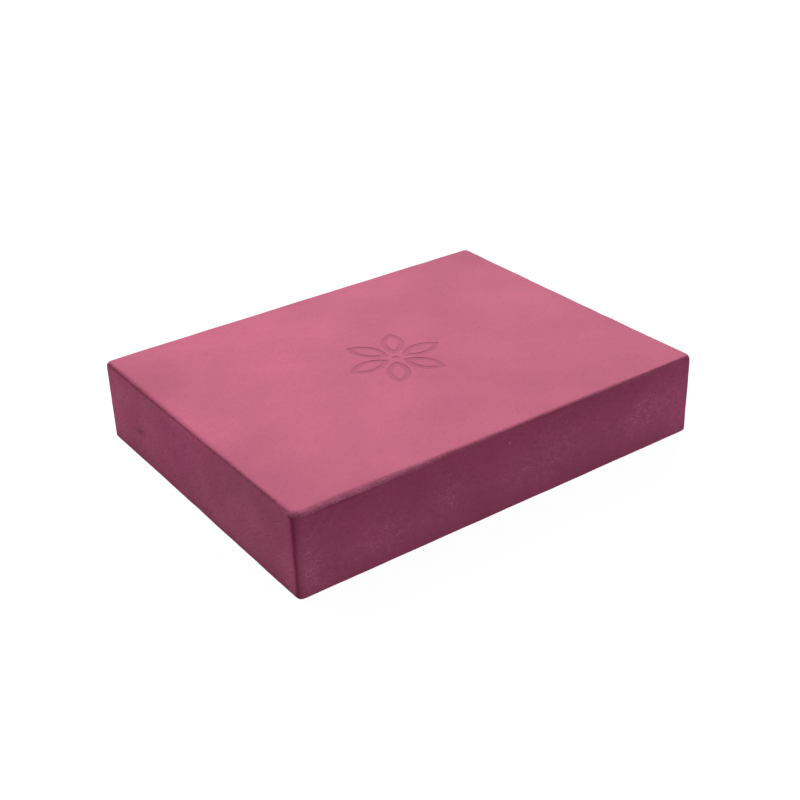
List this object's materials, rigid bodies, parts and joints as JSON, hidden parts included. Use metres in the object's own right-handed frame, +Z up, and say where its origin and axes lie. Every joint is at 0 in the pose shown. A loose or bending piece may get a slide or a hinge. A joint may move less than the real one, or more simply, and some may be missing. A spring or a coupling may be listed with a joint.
{
  "type": "pilates block",
  "caption": "Firm rectangular foam block with rounded edges and a shallow pressed rosette on top, laid under the head, seat, hands or feet.",
  "frame": {"origin": "middle of the underside", "axes": "+X along the longer sides, +Y along the shorter sides, +Z up through the thickness"},
  "size_m": [0.265, 0.205, 0.05],
  "materials": {
    "eva_foam": "matt closed-cell EVA foam, dyed through, with a fine skin on the flat faces and a sanded nap on the sides"
  },
  "bodies": {
    "root": {"foam_block": "eva_foam"}
  },
  "joints": []
}
